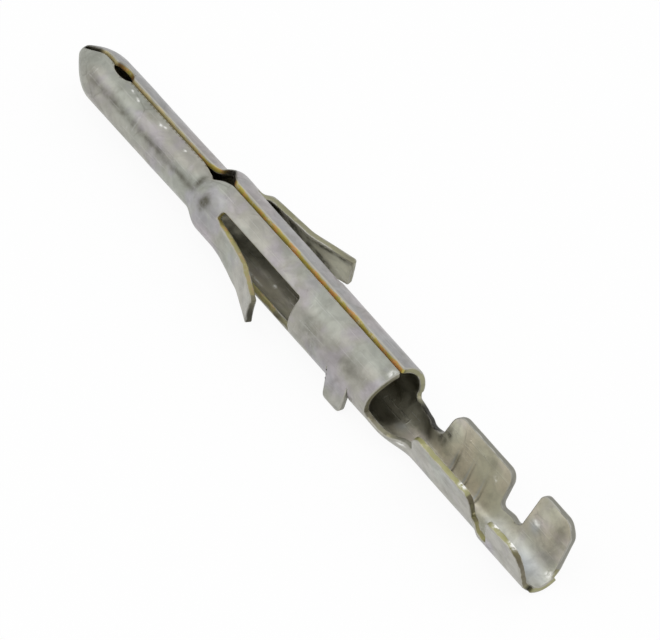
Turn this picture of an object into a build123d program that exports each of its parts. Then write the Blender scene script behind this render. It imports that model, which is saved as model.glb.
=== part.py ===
from build123d import *
from math import asin, atan2, cos, degrees, radians, sin, sqrt
import os

# Crimp pin contact: one strip of sheet brass, blanked and rolled into a hollow pin, a locking barrel
# with two sprung tangs, and two open crimp barrels. Sizes are in millimetres and degrees.

# Sheet
sheet = 0.20

# Rolled pin and its closed nose
pin_diameter = 1.57
pin_length = 6.05
nose_length = 1.30
nose_tip_diameter = 0.38
nose_tip_slope = 39.0
nose_edge_radius = 0.07
nose_wall = 0.26

# Locking barrel
shoulder_length = 0.80
barrel_diameter = 2.08
barrel_length = 8.20

# Seam along the top, with its eye behind the nose and its opening at the neck
pin_seam_gap = 0.07
barrel_seam_gap = 0.12
seam_offset = 0.06
eye_position = 1.74
eye_length = 0.78
eye_width = 0.38
neck_opening_lead = 0.45
neck_opening_tail = 0.85
neck_opening_left = 0.30
neck_opening_right = 0.34

# Sprung locking tangs, one each side, each in a window of its own
window_setback = 0.65
window_length = 3.75
window_rise_angle = 48.0
window_drop_angle = 37.0
window_corner = 0.12
tang_length = 3.08
tang_spread = 0.84
tang_root_slope = 9.0
tang_root_embed = 0.12
tang_root_inset = 0.02
tang_root_width = 1.02
tang_tip_width = 0.86
tang_tip_crown = 0.03
tang_tip_corner = 0.08

# Stop tabs, lanced down from the barrel's sides to the level of its floor
tab_width = 0.82
tab_rim_distance = 0.87
tab_root_angle = 3.0
tab_lean = 10.0
tab_corner = 0.16
tab_slot_margin = 0.03

# Open trough behind the barrel
transition_length = 1.78
transition_delay = 0.50
transition_funnel = 1.13
neck_length = 0.83
neck_funnel = 0.50
transition_wall_height = 0.64
neck_wall_height = 0.56
rim_corner = 0.18
notch_corner = 0.20

# Wire barrel, with serration grooves across its inside
wire_barrel_length = 2.87
wire_floor_radius = 0.55
wire_wing_height = 1.71
wire_wing_flare = 18.3
wire_front_lean = 0.16
wire_front_corner = 0.54
wire_rear_corner = 0.34
groove_count = 3
groove_width = 0.14
groove_depth = 0.05
groove_pitch = 0.62

# Insulation barrel
insulation_barrel_length = 1.75
insulation_floor_radius = 0.77
insulation_wing_height = 1.87
insulation_wing_flare = 18.1
insulation_front_lean = 0.22
insulation_front_corner = 0.28
insulation_rear_corner = 0.48

# Stub left where the contact was cut from its carrier strip
stub_length = 0.10
stub_width = 0.96
stub_clearance = 0.30

# Stations are measured back from the nose tip, and levels up from the tube's axis
pin_radius = pin_diameter / 2
barrel_radius = barrel_diameter / 2
barrel_start = pin_length + shoulder_length
rim = barrel_start + barrel_length
wire_start = rim + transition_length
wire_end = wire_start + wire_barrel_length
insulation_start = wire_end + neck_length
funnel_start = rim + transition_delay
insulation_end = insulation_start + insulation_barrel_length
overall_length = insulation_end + stub_length
floor_level = -barrel_radius
window_start = barrel_start + window_setback
window_end = window_start + window_length
tab_start = rim - tab_rim_distance - tab_width
reach = barrel_diameter + insulation_wing_height
loft_steps = 6

# The origin is under the middle of the contact, which lies on its floor with the seam up
nose_x = -overall_length / 2
nose_point = (nose_x, 0, barrel_radius)
side_view = Plane(origin=nose_point, x_dir=(1, 0, 0), z_dir=(0, -1, 0))
top_view = Plane(origin=nose_point)
tube_axis = Axis(nose_point, (1, 0, 0))


def section_at(station):
    """Plane across the contact at a station: local x is +Y and local y is +Z."""
    return Plane(origin=(nose_x + station, 0, barrel_radius), x_dir=(0, 1, 0), z_dir=(1, 0, 0))


def on_circle(radius, angle):
    """Point of a circle round the tube's axis, with its angle counted up from the +Y side."""
    return (radius * cos(radians(angle)), radius * sin(radians(angle)))


def wedge(first_angle, last_angle, mode=Mode.ADD):
    """Wedge from the tube's axis out past everything, between two angles under 180 degrees apart."""
    middle_angle = (first_angle + last_angle) / 2
    Polygon(
        (0, 0),
        on_circle(reach, first_angle),
        on_circle(reach, middle_angle),
        on_circle(reach, last_angle),
        align=None,
        mode=mode,
    )


def tube_outline(inset, nose_start, nose_radius):
    """Half profile of the rolled tube, set in from its outer face by inset."""
    pin_wall = pin_radius - inset
    barrel_wall = barrel_radius - inset
    with BuildSketch(side_view) as outline:
        with BuildLine():
            Line((nose_start, 0), (nose_start, nose_radius))
            Spline(
                (nose_start, nose_radius),
                (nose_length, pin_wall),
                tangents=[on_circle(1, nose_tip_slope), (1, 0)],
            )
            Line((nose_length, pin_wall), (pin_length, pin_wall))
            Spline((pin_length, pin_wall), (barrel_start, barrel_wall), tangents=[(1, 0), (1, 0)])
            Polyline((barrel_start, barrel_wall), (rim, barrel_wall), (rim, 0), (nose_start, 0))
        make_face()
    return outline.sketch


def trough_outline(station, floor_radius, flare, inset):
    """Filled U with a round floor and flared straight walls, set in from its outer face by inset."""
    centre_level = floor_level + floor_radius
    radius = floor_radius - inset
    half_width, corner_drop = on_circle(radius, flare)
    corner_level = centre_level - corner_drop
    top_half_width = half_width + (reach - corner_level) * sin(radians(flare)) / cos(radians(flare))
    with BuildSketch(section_at(station)) as outline:
        with BuildLine():
            Line((-top_half_width, reach), (-half_width, corner_level))
            ThreePointArc(
                (-half_width, corner_level),
                (0, centre_level - radius),
                (half_width, corner_level),
            )
            Line((half_width, corner_level), (top_half_width, reach))
            Line((top_half_width, reach), (-top_half_width, reach))
        make_face()
    return outline.sketch


def trough_sections():
    """Station, floor radius and flare of each section of the trough, from the rim to the stub."""
    stages = [
        (rim, barrel_radius, 0),
        (funnel_start, barrel_radius, 0),
        (funnel_start + transition_funnel, wire_floor_radius, wire_wing_flare),
        (wire_end, wire_floor_radius, wire_wing_flare),
        (wire_end + neck_funnel, insulation_floor_radius, insulation_wing_flare),
        (overall_length, insulation_floor_radius, insulation_wing_flare),
    ]
    sections = [stages[0]]
    for before, after in zip(stages, stages[1:]):
        steps = 1 if before[1:] == after[1:] else loft_steps
        for step in range(1, steps + 1):
            share = step / steps
            eased = share * share * (3 - 2 * share)
            station = before[0] + (after[0] - before[0]) * share
            floor_radius = before[1] + (after[1] - before[1]) * eased
            flare = before[2] + (after[2] - before[2]) * eased
            sections.append((station, floor_radius, flare))
    return sections


def sheet_edges(edges):
    """Edges that cross the sheet's thickness, where a cut through it turns a corner."""
    straight = edges.filter_by(GeomType.LINE)
    return straight.filter_by(lambda edge: abs(edge.length - sheet) < sheet / 50)


# Rolled tube: nose, pin, shoulder and barrel, open at the rear rim
with BuildPart() as tube:
    revolve(tube_outline(0, 0, nose_tip_diameter / 2), axis=tube_axis)
    fillet(tube.edges().filter_by(GeomType.CIRCLE).sort_by(Axis.X)[0], nose_edge_radius)
    revolve(tube_outline(sheet, nose_wall, sheet / 4), axis=tube_axis, mode=Mode.SUBTRACT)

    # Seam, cut from the axis up, with the eye and the neck opening in its line
    with BuildSketch(top_view):
        with Locations((pin_length / 2, seam_offset)):
            Rectangle(pin_length, pin_seam_gap)
        with Locations(((pin_length + rim) / 2, seam_offset)):
            Rectangle(rim - pin_length, barrel_seam_gap)
        with Locations((eye_position, seam_offset)):
            Ellipse(eye_length / 2, eye_width / 2)
        opening_middle = pin_length + (neck_opening_tail - neck_opening_lead) / 2
        with BuildLine():
            Spline(
                (pin_length - neck_opening_lead, seam_offset),
                (opening_middle, seam_offset - neck_opening_left),
                (pin_length + neck_opening_tail, seam_offset),
                (opening_middle, seam_offset + neck_opening_right),
                periodic=True,
            )
        make_face()
    extrude(amount=reach, mode=Mode.SUBTRACT)

    # Windows round the tangs
    with BuildSketch(section_at(window_start)):
        wedge(-window_drop_angle, window_rise_angle)
        wedge(180 - window_rise_angle, 180 + window_drop_angle)
    extrude(amount=window_length, mode=Mode.SUBTRACT)
    window_ends = [
        sheet_edges(tube.edges()).filter_by_position(Axis.X, nose_x + end - sheet, nose_x + end + sheet)
        for end in (window_start, window_end)
    ]
    fillet(window_ends[0] + window_ends[1], window_corner)

    # Slots that the stop tabs were lanced from
    tab_length = barrel_radius - tab_corner / 2
    tab_arc = degrees(tab_length / barrel_radius)
    with BuildSketch(section_at(tab_start - tab_slot_margin)):
        wedge(-tab_root_angle - tab_arc, -tab_root_angle)
        wedge(180 + tab_root_angle, 180 + tab_root_angle + tab_arc)
    extrude(amount=tab_width + 2 * tab_slot_margin, mode=Mode.SUBTRACT)

# Tangs: strips of the barrel's wall, flattened and swung outwards along an arc
root_slope = radians(tang_root_slope)
tip_slope = 2 * atan2(tang_spread, tang_length) - root_slope
bend_radius = tang_length / (sin(tip_slope) - sin(root_slope))
root_half = tang_root_width / 2
root_crown = barrel_radius - sqrt(barrel_radius**2 - root_half**2)


def tang_section(share):
    """Section of the right-hand tang, a share of the way from its root to its tip."""
    angle = root_slope + (tip_slope - root_slope) * share
    station = window_start + bend_radius * (sin(angle) - sin(root_slope))
    outer_face = barrel_radius - tang_root_inset + bend_radius * (cos(root_slope) - cos(angle))
    crown = root_crown + (tang_tip_crown - root_crown) * share
    crown_radius = (root_half**2 + crown**2) / (2 * crown)
    half_angle = degrees(asin(root_half / crown_radius))
    strip = Plane(
        origin=(nose_x + station, outer_face, barrel_radius),
        x_dir=(-sin(angle), cos(angle), 0),
        z_dir=(cos(angle), sin(angle), 0),
    )
    with BuildSketch(strip) as outline:
        with BuildLine():
            outer = CenterArc((-crown_radius, 0), crown_radius, -half_angle, 2 * half_angle)
            inner = CenterArc((-crown_radius, 0), crown_radius - sheet, -half_angle, 2 * half_angle)
            Line(outer @ 0, inner @ 0)
            Line(outer @ 1, inner @ 1)
        make_face()
    return outline.sketch


with BuildPart() as tangs:
    embed_share = tang_root_embed / tang_length
    shares = [-embed_share] + [step / loft_steps for step in range(loft_steps + 1)]
    loft([tang_section(share) for share in shares])
    tip_station = window_start + tang_length
    with BuildSketch(side_view) as tang_outline:
        Polygon(
            (window_start - sheet, -root_half),
            (tip_station, -tang_tip_width / 2),
            (tip_station, tang_tip_width / 2),
            (window_start - sheet, root_half),
            align=None,
        )
        fillet(tang_outline.vertices().group_by(Axis.X)[-1], tang_tip_corner)
    extrude(amount=reach, both=True, mode=Mode.INTERSECT)
    mirror(about=Plane.XZ)

# Stop tabs: flat flaps that carry on from the barrel's sides down to its floor
drop_angle = tab_lean - tab_root_angle - 90
with BuildPart() as tabs:
    with BuildSketch(section_at(tab_start)):
        outer_root = Vector(*on_circle(barrel_radius, -tab_root_angle))
        inner_root = Vector(*on_circle(barrel_radius - sheet, -tab_root_angle))
        drop = Vector(*on_circle(1, drop_angle))
        outer_foot = outer_root + drop * ((floor_level - outer_root.Y) / drop.Y)
        inner_foot = inner_root + drop * ((floor_level - inner_root.Y) / drop.Y)
        Polygon(outer_root, outer_foot, inner_foot, inner_root, align=None)
    extrude(amount=tab_width)
    foot_edges = tabs.edges().filter_by(Axis.Y).group_by(Axis.Z)[0]
    fillet(foot_edges, tab_corner)
    mirror(about=Plane.XZ)

# Trough: transition, wire barrel, neck and insulation barrel, lofted at full height, then cut to outline
with BuildPart() as trough:
    loft([trough_outline(*section, 0) for section in trough_sections()], ruled=True)
    loft(
        [trough_outline(*section, sheet) for section in trough_sections()],
        ruled=True,
        mode=Mode.SUBTRACT,
    )

    # Blank's outline, seen from the side: low walls, and the wings that stand up from them
    transition_level = floor_level + transition_wall_height
    neck_level = floor_level + neck_wall_height
    wire_level = floor_level + wire_wing_height
    insulation_level = floor_level + insulation_wing_height
    stub_level = floor_level + sheet + stub_clearance
    with BuildSketch(side_view):
        with BuildLine():
            FilletPolyline(
                (rim, reach),
                (rim, transition_level),
                (wire_start, transition_level),
                (wire_start + wire_front_lean, wire_level),
                (wire_end, wire_level),
                (wire_end, neck_level),
                (insulation_start, neck_level),
                (insulation_start + insulation_front_lean, insulation_level),
                (insulation_end, insulation_level),
                (insulation_end, stub_level),
                (overall_length, stub_level),
                (overall_length, reach),
                radius=[
                    rim_corner,
                    notch_corner,
                    wire_front_corner,
                    wire_rear_corner,
                    notch_corner,
                    notch_corner,
                    insulation_front_corner,
                    insulation_rear_corner,
                    0,
                    0,
                ],
            )
            Line((overall_length, reach), (rim, reach))
        make_face()
    extrude(amount=reach, both=True, mode=Mode.SUBTRACT)
    with BuildSketch(top_view):
        with Locations((overall_length, 0)):
            Rectangle(2 * stub_length, reach)
            Rectangle(2 * stub_length, stub_width, mode=Mode.SUBTRACT)
    extrude(amount=reach, both=True, mode=Mode.SUBTRACT)

    # Serration grooves across the inside of the wire barrel
    middle_groove = (wire_start + wire_end - groove_width) / 2
    for index in range(groove_count):
        offset_from_middle = (index - (groove_count - 1) / 2) * groove_pitch
        groove = trough_outline(
            middle_groove + offset_from_middle,
            wire_floor_radius,
            wire_wing_flare,
            sheet - groove_depth,
        )
        extrude(groove, amount=groove_width, mode=Mode.SUBTRACT)

# One folded piece
with BuildPart() as crimp_contact:
    add(tube.part)
    add(tangs.part)
    add(tabs.part)
    add(trough.part)

crimp_contact.part.label = "crimp_contact"
os.makedirs("parts", exist_ok=True)
export_step(crimp_contact.part, "parts/crimp_contact.step")
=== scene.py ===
from math import acos, asin, atan2, ceil, cos, pi, radians, sin, tan

import bpy
import numpy as np
from mathutils import Matrix, Vector, noise
from mathutils.geometry import delaunay_2d_cdt
from mathutils.kdtree import KDTree


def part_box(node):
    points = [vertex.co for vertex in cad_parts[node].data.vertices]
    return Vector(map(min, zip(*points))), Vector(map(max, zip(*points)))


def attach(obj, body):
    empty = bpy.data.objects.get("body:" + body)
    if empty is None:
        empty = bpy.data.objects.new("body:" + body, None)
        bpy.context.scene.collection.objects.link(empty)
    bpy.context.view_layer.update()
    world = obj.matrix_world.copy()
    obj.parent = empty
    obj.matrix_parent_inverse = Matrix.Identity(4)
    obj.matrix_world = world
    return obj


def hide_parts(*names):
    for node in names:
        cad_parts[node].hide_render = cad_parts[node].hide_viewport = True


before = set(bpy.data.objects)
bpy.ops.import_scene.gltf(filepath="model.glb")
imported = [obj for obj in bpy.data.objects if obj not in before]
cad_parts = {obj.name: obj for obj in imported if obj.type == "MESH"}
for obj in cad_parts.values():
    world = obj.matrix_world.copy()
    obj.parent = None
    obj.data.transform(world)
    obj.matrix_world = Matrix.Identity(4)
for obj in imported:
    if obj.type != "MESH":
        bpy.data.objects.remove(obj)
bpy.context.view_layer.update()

# The contact is built as what it is: a flat blank, folded. A point of the blank has a station, measured
# back from the nose tip, and a place across the sheet, measured along its outer face from the line
# under the contact. Folding puts it at x (station), y and z from the tube's axis. All in millimetres.

NODE = "crimp_contact"
MM = 0.001
low_corner, high_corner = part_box(NODE)
overall_length = (high_corner.x - low_corner.x) / MM

# Sheet, pin and nose
sheet = 0.20
pin_radius = 0.785
pin_length = 6.05
nose_length = 1.30
nose_tip_radius = 0.19
nose_tip_slope = 39.0
nose_edge = 0.05
nose_bore_radius = 0.03
nose_sag = (-0.070, -0.049)
pin_root_sag = (-0.025, -0.018)
nose_tip_lift = (0.057, 0.040)

# Barrel
shoulder_length = 0.80
barrel_radius = 1.04
barrel_length = 8.20
barrel_start = pin_length + shoulder_length
rim = barrel_start + barrel_length
floor_level = -barrel_radius
side_line = barrel_radius * pi / 2

# Seam, its eye, and the opening at the neck, as distances of each lip from the seam's middle
seam_offset = 0.11
pin_half_gap = 0.045
barrel_half_gap = 0.07
eye_station = 1.70
eye_half_length = 0.39
eye_half_width = 0.22
tip_slit_stations = (0.06, 0.15, 0.50, 0.80, 1.35)
tip_slit = (0.00, 0.05, 0.045, 0.01, 0.00)
nose_seam_stations = (0.25, 0.40, 0.60, 0.80, 1.00, 1.31)
nose_seam_shift = (-0.13, -0.12, -0.06, 0.01, 0.03, 0.00)
neck_stations = (5.60, 5.95, 6.20, 6.40, 6.52, 6.75, 6.97)
neck_left = (0.00, 0.07, 0.17, 0.30, 0.24, 0.10, 0.00)
neck_right = (0.00, 0.03, 0.11, 0.33, 0.27, 0.09, 0.00)
lip_rounding = 0.05
rim_lip_corner = 0.10
left_lip_drop = 0.08
left_closing, right_closing = 0.50, 1.36
shoulder_lead = 0.07
front_corner_lead = 0.15
rim_slant = 0.05
rim_bulge = 0.04
wing_slant = -0.035
rim_slant_reach = 1.3
rim_swells = ((-2.60, 0.55, 0.09), (1.40, 0.35, 0.05))

# Windows and tangs
window_starts = {-1: barrel_start + 0.65, 1: barrel_start + 0.40}
window_end = barrel_start + 4.40
window_low = barrel_radius * radians(90 - 37)
window_high = barrel_radius * radians(90 + 48)
window_corner = 0.12
window_front_corner = 0.045
window_slant = 0.08
left_tang_reach = (0.0, 0.50, 1.10, 1.75, 2.97)
left_tang_out = (0.0, 0.03, 0.12, 0.27, 0.835)
right_tang_reach = (0.0, 0.32, 0.65, 1.95, 2.70, 3.36)
right_tang_out = (0.0, 0.105, 0.165, 0.32, 0.60, 0.835)
tang_bend_reach = 0.25
tang_flattening = (0.4, 1.6)
tang_root_half = 0.56
tang_tip_half = 0.48
tang_tip_crown = 0.03
tang_tip_corner = 0.08
tang_low_notch = 0.03
tang_high_notch = 0.05
tang_strip_half, tang_tip_margin = 0.65, 0.1

# Stop tabs
tab_end = rim - 0.87
tab_start = tab_end - 0.98
tab_lean = 0.19
tab_front_margin, tab_rear_margin = 0.006, 0.015
tab_hinge = barrel_radius * radians(90 - 3)
tab_slot_lows = {-1: tab_hinge - 0.96, 1: tab_hinge - 0.70}
tab_drop_angle = radians(10 - 3 - 90)
tab_drop = 0.965
tab_corner = 0.16
slot_corner, hinge_corner = 0.06, 0.004

# Trough: transition, wire barrel, neck, insulation barrel and stub
funnel_start = rim + 0.50
funnel_end = funnel_start + 1.13
wire_start = rim + 1.78
wire_end = wire_start + 2.87
wire_radius = 0.55
wire_flare = radians(18.3)
wire_height = 1.71
neck_end = wire_end + 0.50
insulation_start = wire_end + 0.83
insulation_end = insulation_start + 1.75
insulation_radius = 0.77
insulation_flare = radians(18.1)
insulation_height = 1.87
insulation_rear_height = 0.35
stub_half_widths = {-1: 0.44, 1: 0.52}
stub_corner = 0.03

# Upper edge of the trough: station, height over the floor and rounding of each corner
trough_edge = (
    (rim, 0.64, 0.18),
    (rim + 0.70, 0.54, 0.60),
    (wire_start, 0.82, 0.15),
    (wire_start + 0.16, wire_height, 0.48),
    (wire_end, wire_height, 0.34),
    (wire_end, 0.66, 0.20),
    (insulation_start, 0.47, 0.20),
    (insulation_start + 0.205, insulation_height, 0.28),
    (insulation_end - 0.05, insulation_height, 0.48),
)

# Serration grooves inside the wire barrel
groove_stations = [(wire_start + wire_end) / 2 + step * 0.62 for step in (-1, 0, 1)]
groove_half_width = 0.055
groove_edge = 0.03
groove_depth = 0.04
groove_fade = (1.5, 0.5)
groove_reach = 2.4
# Painted shade beside each groove's rear edge and a painted highlight beside its front edge
groove_shade = (0.9, 0.8, 0.45)
groove_highlight = 0.9
groove_line = 0.03

# Soft spots on the faces, of stains, painted shade and painted highlights: station, place across, length,
# width and, where it isn't 1, weight
# Outer spots: painted shade in the neck's crease, a painted reflection on the shoulder's dome, stains on the
# rear of the barrel
outer_stains_and_shade = (
    (2.21, -2.63, 0.035, 0.28, 0.35),
    (6.18, -2.60, 0.11, 0.40, 0.8),
    (6.84, -2.23, 0.19, 0.28),
    (12.3, -1.90, 0.70, 0.50, 0.5),
    (13.9, -2.20, 0.50, 0.40, 0.5),
)
# Darker spots on the far wings' inner faces
inner_dark_spots = (
    (wire_start + 0.12, 1.22, 0.20, 0.34, 1.8),
    (21.8, 2.00, 0.35, 0.25, 0.5),
)
# Painted cool highlights on the trough's floor and on the far wing
cool_highlights = (
    (21.5, -0.10, 1.00, 0.90),
    (15.55, 0.10, 0.22, 0.25, 0.8),
    (19.9, 0.10, 0.40, 0.60, 0.5),
    (21.0, 1.35, 0.22, 0.20, 0.8),
)
# Painted highlights: small glints on the outer and inner faces
outer_glint_spots = (
    (2.45, -3.08, 0.05, 0.03),
    (2.78, -2.99, 0.05, 0.04),
    (3.88, -2.97, 0.06, 0.05),
    (4.04, -3.06, 0.03, 0.03),
    (5.02, -2.98, 0.03, 0.04),
    (16.38, -1.00, 0.11, 0.05),
    (14.94, -3.05, 0.06, 0.12),
)
inner_glint_spots = (
    (9.00, -0.46, 0.24, 0.04),
    (9.48, 0.03, 0.05, 0.04),
    (16.10, -0.42, 0.18, 0.05),
    (19.17, 1.51, 0.05, 0.07),
    (19.25, -2.09, 0.10, 0.08),
    (21.10, -2.37, 0.10, 0.08),
    (21.85, -2.37, 0.12, 0.08),
    (21.00, 1.47, 0.09, 0.05),
    (22.20, 0.55, 0.06, 0.12),
)

outer_glint, inner_glint = 1.6, 2.6

# Darkening in streaks: a painted reflection on the pin, and painted shade on the far wall, in the window and
# on the right tang's inner face
pin_reflection_line, pin_reflection_width, pin_reflection_dark = -barrel_radius * radians(120), 0.14, 0.62
front_soil, far_wall_shade = 0.08, 0.3
window_shade, window_front_shade = 0.45, 0.25
window_line, window_line_width, window_line_shade = -0.82, 0.05, 0.7
tang_line_inset, tang_line_width, tang_line_shade = 0.09, 0.06, 1.2
tang_soil, tang_shade = 0.12, 1.3
tang_shade_line, tang_shade_slope, tang_shade_fade = 0.60, 1.43, 0.22

# Painted shade inside the tube, and its falls behind the rim: size, start and end. Each of these two has its
# distance on the left wall and how much is added on the right one
side_dimness, pin_dimness = 0.25, 0.75
rear_falls = ((0.48, (0.05, 1.05), (0.50, 1.20)), (0.52, (0.90, 0.50), (1.70, 0.40)))

# Wear and painted shade on the cut edges, in shares of full
edge_reach = 0.05
seam_side, nose_side = 2.6, 2.0
left_bare, left_bare_rise, right_bare = 0.70, 0.25, 0.50
left_rim_bare, right_rim_bare = 0.60, 0.70
transition_bare, transition_bare_fall = 0.55, 0.40
tab_bare, stub_bare = 0.05, 0.90
nose_shade, eye_shade, transition_shade = 0.90, 0.45, 0.95
window_tarnish, low_edge_tarnish, rim_tarnish, corner_tarnish = 0.18, 0.5, 0.6, 0.9
near_tarnish_fall, far_tarnish = 0.8, 0.4
corner_tarnish_reach = {wire_end: 0.15, insulation_end: 0.42}
tang_brass, tang_brass_fall = 0.6, 0.3
seam_paleness = 0.85
right_tint = 0.8

# Mesh
grid = 0.085
edge_step = 0.05
fine_step = 0.01
touching = 1e-5
edge_rounding = 0.035
edge_rows = 3
wave_height, wave_scale = 0.008, 0.9
ripple_height, ripple_scale, ripple_shift = 0.003, 2.6, (9, 0, 0)
OUTER, INNER, EDGE = range(3)


def eased(value, start, end):
    """Smooth step from 0 at start to 1 at end."""
    share = np.clip((value - start) / (end - start), 0, 1)
    return share * share * (3 - 2 * share)


def fading(value, middle, width):
    """Share that is 1 at the middle and fades out on both sides."""
    return np.exp(-(((value - middle) / width) ** 2))


def between(value, low, high):
    """Which values lie between two limits."""
    return (value > low) & (value < high)


def unit(vector):
    """The same direction with a length of 1."""
    return vector / np.linalg.norm(vector)


def tube_radius(station):
    """Outer radius of the rolled tube: nose, pin, shoulder and barrel."""
    share = np.clip(station / nose_length, 0, 1)
    rise = tan(radians(nose_tip_slope)) * nose_length
    nose = nose_tip_radius * (2 * share**3 - 3 * share**2 + 1) + rise * (share**3 - 2 * share**2 + share)
    nose = nose + pin_radius * (3 * share**2 - 2 * share**3)
    behind = (barrel_radius - pin_radius) * eased(station, pin_length, barrel_start)
    return nose + behind


def trough_form(station):
    """Radius of the trough's round floor and flare of its walls."""
    to_wire = eased(station, funnel_start, funnel_end)
    to_insulation = eased(station, wire_end, neck_end)
    radius = barrel_radius + (wire_radius - barrel_radius) * to_wire
    radius = radius + (insulation_radius - wire_radius) * to_insulation
    flare = wire_flare * to_wire + (insulation_flare - wire_flare) * to_insulation
    return radius, flare


def across_at(station, level):
    """Place across the sheet where the trough's outer face reaches a level."""
    radius, flare = trough_form(station)
    centre = floor_level + radius
    corner_level = centre - radius * np.sin(flare)
    on_arc = radius * np.arccos(np.clip((centre - level) / radius, -1, 1))
    on_wall = radius * (pi / 2 - flare) + (level - corner_level) / np.cos(flare)
    return np.where(level < corner_level, on_arc, on_wall)


def half_gap(station):
    """Half of the seam's gap at the outer face."""
    return pin_half_gap + (barrel_half_gap - pin_half_gap) * eased(station, pin_length, barrel_start)


def lips(station):
    """How far the seam's left and right lips stand from the plane through the tube's axis."""
    base = half_gap(station) + np.interp(station, tip_slit_stations, tip_slit)
    eye = 1 - ((station - eye_station) / eye_half_length) ** 2
    opening = np.maximum(base, eye_half_width * np.sqrt(np.clip(eye, 0, 1)))
    left = opening + np.interp(station, neck_stations, neck_left)
    right = opening + np.interp(station, neck_stations, neck_right)
    middle = seam_offset + np.interp(station, nose_seam_stations, nose_seam_shift)
    return middle - left, middle + right


def smoothing(reach):
    """Weights of a soft average that reaches as far on both sides."""
    weights = np.hanning(2 * round(reach / fine_step) + 1)
    return weights / weights.sum()


def lip_across():
    """Both lips of the seam as rows of (station, place across), from the nose back."""
    station = np.arange(nose_edge, rim, fine_step)
    weights = smoothing(lip_rounding)
    rows = []
    for y, side in zip(lips(station), (-1, 1)):
        y = np.convolve(np.pad(y, len(weights) // 2, mode="edge"), weights, mode="valid")
        angle = pi - np.arcsin(side * y / tube_radius(station))
        rows.append(np.column_stack([station, side * barrel_radius * angle]))
    return rows


def resampled(path):
    """The same path with its points about an edge step apart, its corners kept."""
    points = [path[0]]
    for before, after in zip(path, path[1:]):
        parts = max(1, ceil(np.linalg.norm(after - before) / edge_step))
        for part in range(1, parts + 1):
            points.append(before + (after - before) * part / parts)
    return np.array(points)


def thinned(path):
    """A dense path with points left out so that they lie about an edge step apart."""
    kept = [path[0]]
    for point in path[1:-1]:
        if np.linalg.norm(point - kept[-1]) >= edge_step:
            kept.append(point)
    return np.array(kept + [path[-1]])


def rounded(points, radii):
    """Open line through the points with each inner corner rounded to its radius."""
    points = [np.array(point, dtype=float) for point in points]
    path = [points[0]]
    for before, corner, after, radius in zip(points, points[1:], points[2:], radii):
        to_before, to_after = unit(before - corner), unit(after - corner)
        half = acos(np.clip(to_before @ to_after, -1, 1)) / 2
        centre = corner + (to_before + to_after) / (2 * cos(half)) * radius / sin(half)
        start = corner + to_before * radius / tan(half) - centre
        end = corner + to_after * radius / tan(half) - centre
        turn = atan2(start[0] * end[1] - start[1] * end[0], start @ end)
        parts = max(1, ceil(abs(turn) * radius / edge_step), ceil(abs(turn) / 0.3))
        for part in range(parts + 1):
            angle = turn * part / parts
            spin = np.array([[cos(angle), -sin(angle)], [sin(angle), cos(angle)]])
            path.append(centre + spin @ start)
    return path + [points[-1]]


def half_outline(lip, side):
    """Outline of one side of the blank, from the nose along the seam and the trough to the stub."""
    stations, heights, radii = np.array(trough_edge).T
    corners = np.column_stack([stations, floor_level + heights])
    end = (insulation_end, floor_level + insulation_rear_height)
    trough = resampled(rounded([(rim, 0), *corners, end], radii))
    trough[:, 1] = across_at(trough[:, 0], trough[:, 1])
    stub_across = insulation_radius * asin(stub_half_widths[side] / insulation_radius)
    tail = [trough[-1], (insulation_end, stub_across), (overall_length, stub_across), (overall_length, 0)]
    tail = rounded(tail, [stub_corner] * 2)
    lip = thinned(lip[lip[:, 0] < rim - rim_lip_corner] * (1, side))
    corner = rounded([lip[-1], (rim, lip[-1][1]), trough[0]], [rim_lip_corner * 0.98])
    parts = [lip, resampled(corner[1:-1])]
    parts += [resampled([corner[-2], trough[0]])[1:-1], trough, resampled(tail[1:])]
    return np.vstack(parts) * (1, side)


def closed(path):
    """Closed loop of a path with no point twice."""
    keep = np.linalg.norm(path - np.roll(path, -1, axis=0), axis=1) > touching
    return path[keep]


def tang_run(reach, out):
    """A tang's outer face from root to tip: distance along it, its slope, and how far back and out it is."""
    back = np.arange(0, reach[-1] + fine_step / 2, fine_step)
    weights = smoothing(tang_bend_reach)
    half = len(weights) // 2
    rise = (out[-1] - out[-2]) / (reach[-1] - reach[-2])
    path = np.interp(np.concatenate([-back[half:0:-1], back]), reach, out)
    path = np.concatenate([path, out[-1] + back[1 : half + 1] * rise])
    path = np.convolve(path, weights, mode="valid")
    path = path - path[0] * (1 - eased(back, 0, tang_bend_reach))
    slope = np.arctan(np.gradient(path, fine_step)) * eased(back, 0, 0.1)
    along = np.concatenate([[0], np.cumsum(np.hypot(fine_step, np.diff(path)))])
    return along, slope, back, path


left_run = tang_run(left_tang_reach, left_tang_out)
right_run = tang_run(right_tang_reach, right_tang_out)
tang_arcs = {-1: left_run[0][-1], 1: right_run[0][-1]}
tang_root_arc = barrel_radius * asin(tang_root_half / barrel_radius)


def window_loop(side):
    """Edge of a window, round the tang that stands in it."""
    start = window_starts[side]
    tip = start + tang_arcs[side]
    middle = (start + window_end) / 2
    low, high = side_line - tang_root_arc, side_line + tang_root_arc
    path = [(middle, window_low), (start, window_low), (start, low), (tip, side_line - tang_tip_half)]
    path += [(tip, side_line + tang_tip_half), (start, high), (start, window_high)]
    path += [(window_end, window_high), (window_end + window_slant, window_low), (middle, window_low)]
    radii = [window_front_corner, tang_low_notch, tang_tip_corner, tang_tip_corner, tang_high_notch]
    path = rounded(path, radii + [window_corner] * 3)
    return closed(resampled(path) * (1, side))


# Stations of the points that a stop tab and the barrel share
hinge_stations = np.linspace(tab_start, tab_end, round((tab_end - tab_start) / edge_step) + 1)


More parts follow.
